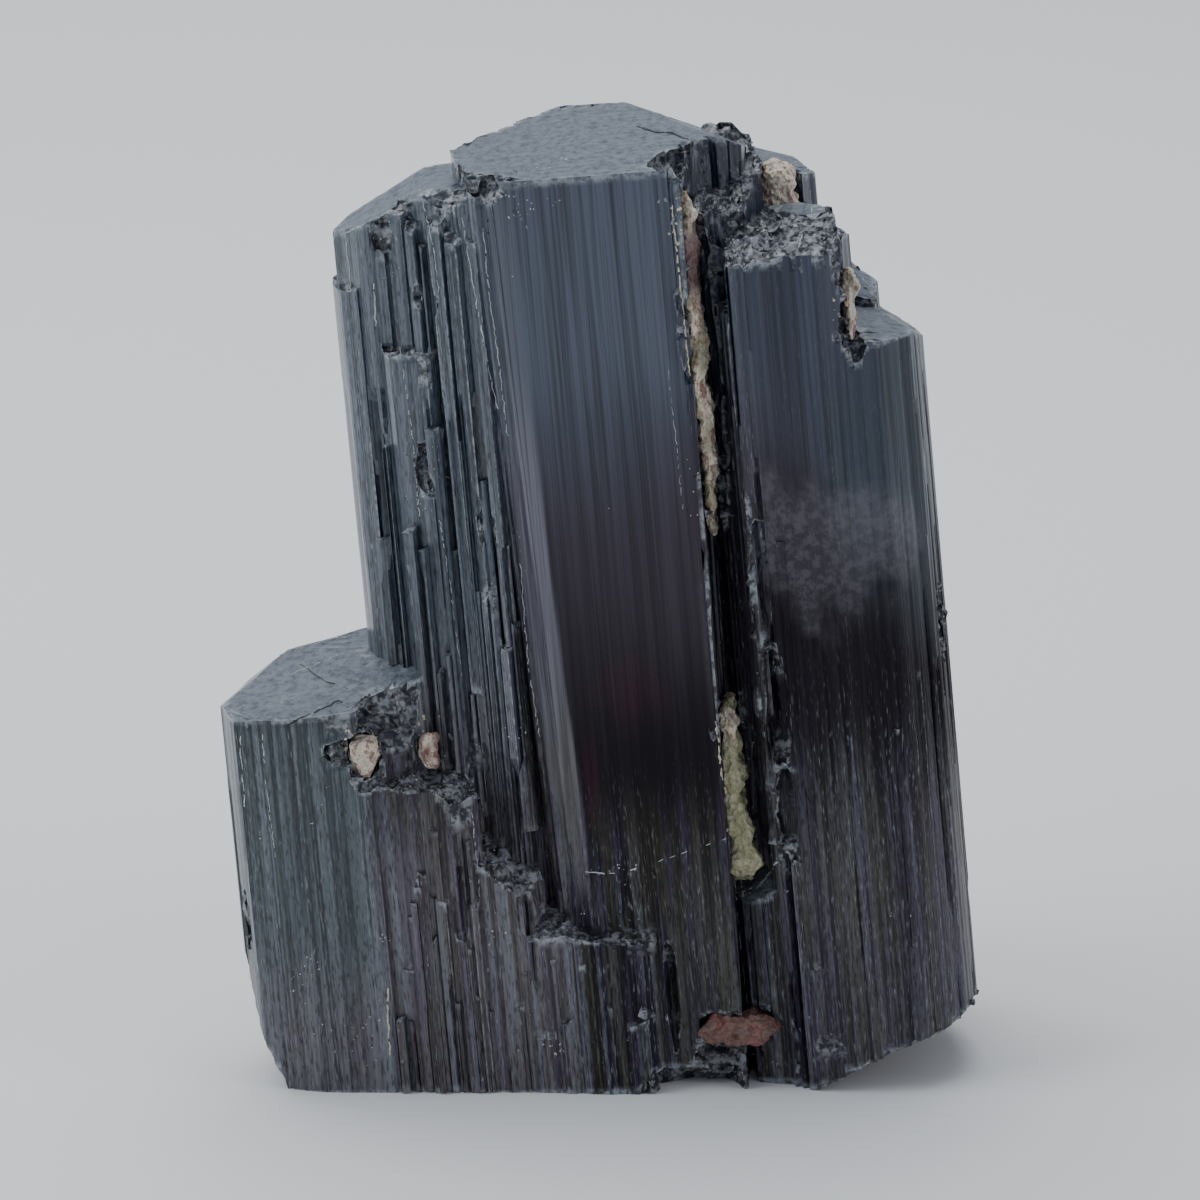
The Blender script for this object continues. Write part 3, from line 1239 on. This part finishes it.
class SPECIMEN_OT_rubble(bpy.types.Operator):
    """Scatter broken splinters of tourmaline over the breaks and in the hollow between the crystals"""

    bl_idname = "specimen.rubble"
    bl_label = "Rubble"

    def execute(self, context):
        rng = random.Random(SPLINTER_SEED)
        tree = crystal_tree()
        bm = bmesh.new()
        layer = bm.verts.layers.float_color.new("finish")
        scatter_patches(bm, layer, tree, DARK_PATCHES, add_splinter, rng, dark_look)
        scatter_breaks(bm, layer, SPLINTER_COVER, add_splinter, rng, dark_look)
        bmesh.ops.recalc_face_normals(bm, faces=bm.faces)
        keep_in_box(bm)
        settings = context.scene.specimen.crystals
        zone = bm.verts.layers.float_color.new("zone")
        stain = bm.verts.layers.float_color.new("stain")
        for vert in bm.verts:
            vert[zone], vert[stain], _ = colour_at(vert.co, settings)
        obj = link("splinters", bm)
        declare(obj, "tourmaline", bpy.data.objects["crystals"].data.materials[0])
        return {"FINISHED"}


class SPECIMEN_OT_grains(bpy.types.Operator):
    """Set pale and cream grains of feldspar and fine lines on the crystals"""

    bl_idname = "specimen.grains"
    bl_label = "Grains and lines"

    def execute(self, context):
        colours = context.scene.specimen.mineral
        tree = crystal_tree()
        for name, patches, lines, *pair, seed in GRAIN_PIECES:
            rng = random.Random(seed)
            bm = bmesh.new()
            layer = bm.verts.layers.float_color.new("finish")
            scatter_patches(bm, layer, tree, patches, add_grain, rng, pale_look)
            for line in lines:
                add_line(bm, layer, tree, line, rng, pale_look)
            if patches:
                scatter_breaks(bm, layer, GRAIN_COVER, add_grain, rng, pale_look)
            bmesh.ops.recalc_face_normals(bm, faces=bm.faces)
            keep_in_box(bm)
            obj = link(name, bm)
            slot = "tourmaline" if name == "crack_lines" else "feldspar"
            tints = [tuple(getattr(colours, tint) if isinstance(tint, str) else tint) for tint in pair]
            declare(obj, slot, grain_material(f"{name}_finish", *tints, GRAIN_ROUGHNESS))
        return {"FINISHED"}


class SPECIMEN_OT_stage(bpy.types.Operator):
    """Set up the pale floor, the studio lights and the camera"""

    bl_idname = "specimen.stage"
    bl_label = "Stage"

    def execute(self, context):
        settings = context.scene.specimen.stage
        scene = context.scene
        bm = bmesh.new()
        bmesh.ops.create_circle(bm, cap_ends=True, segments=64, radius=FLOOR_RADIUS)
        floor = link("floor", bm, to_world=False)
        f = Finish("pale_floor")
        matt = f.node("ShaderNodeBsdfDiffuse", {}, {"Color": (*settings.floor_colour, 1.0)})
        f.node("ShaderNodeOutputMaterial", {"target": "ALL"}, {"Surface": matt}, output=None)
        floor.data.materials.append(f.material)
        floor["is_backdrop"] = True

        for name, place, size, power, tint in PANELS:
            lamp = bpy.data.lights.new(name, "AREA")
            lamp.shape = "RECTANGLE"
            lamp.size, lamp.size_y = size
            lamp.energy = getattr(settings, power)
            lamp.color = tint
            obj = bpy.data.objects.new(name, lamp)
            obj.location = place
            obj.rotation_euler = (Vector(LOOK_AT) - obj.location).to_track_quat("-Z", "Y").to_euler()
            scene.collection.objects.link(obj)

        world = bpy.data.worlds.new("studio")
        world.use_nodes = True
        sky = world.node_tree.nodes["Background"]
        sky.inputs["Color"].default_value = SKY_COLOUR
        sky.inputs["Strength"].default_value = SKY_STRENGTH
        scene.world = world

        lens = bpy.data.cameras.new("camera")
        lens.lens = LENS
        lens.sensor_width = SENSOR
        lens.clip_start = 0.01
        lens.clip_end = 10.0
        camera = bpy.data.objects.new("camera", lens)
        camera.rotation_mode = "QUATERNION"
        camera.location = CAMERA_PLACE
        camera.rotation_quaternion = (-CAMERA_BACK).to_track_quat("-Z", "Y")
        scene.collection.objects.link(camera)
        scene.camera = camera
        return {"FINISHED"}


OPERATORS = (
    SPECIMEN_OT_crystals,
    SPECIMEN_OT_feldspar,
    SPECIMEN_OT_clay,
    SPECIMEN_OT_rubble,
    SPECIMEN_OT_grains,
    SPECIMEN_OT_stage,
)


class SPECIMEN_PT_panel(bpy.types.Panel):
    """Lists the pieces of the specimen"""

    bl_idname = "SPECIMEN_PT_panel"
    bl_label = "Tourmaline specimen"
    bl_space_type = "VIEW_3D"
    bl_region_type = "UI"
    bl_category = "Specimen"

    def draw(self, context):
        for operator in OPERATORS:
            self.layout.operator(operator.bl_idname)
        for group in (
            context.scene.specimen.crystals,
            context.scene.specimen.mineral,
            context.scene.specimen.stage,
        ):
            box = self.layout.box()
            for name in group.__annotations__:
                box.prop(group, name)


CLASSES = (CrystalSettings, MineralSettings, StageSettings, SpecimenSettings, *OPERATORS, SPECIMEN_PT_panel)


def register():
    for cls in CLASSES:
        bpy.utils.register_class(cls)
    bpy.types.Scene.specimen = PointerProperty(type=SpecimenSettings)


def unregister():
    del bpy.types.Scene.specimen
    for cls in reversed(CLASSES):
        bpy.utils.unregister_class(cls)


def main():
    register()
    bpy.ops.specimen.crystals()
    bpy.ops.specimen.feldspar()
    bpy.ops.specimen.clay()
    bpy.ops.specimen.rubble()
    bpy.ops.specimen.grains()
    bpy.ops.specimen.stage()
    corners = [[list(CAD_LOW), list(CAD_HIGH)], [list(corner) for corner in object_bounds()]]


if __name__ == "__main__":
    main()
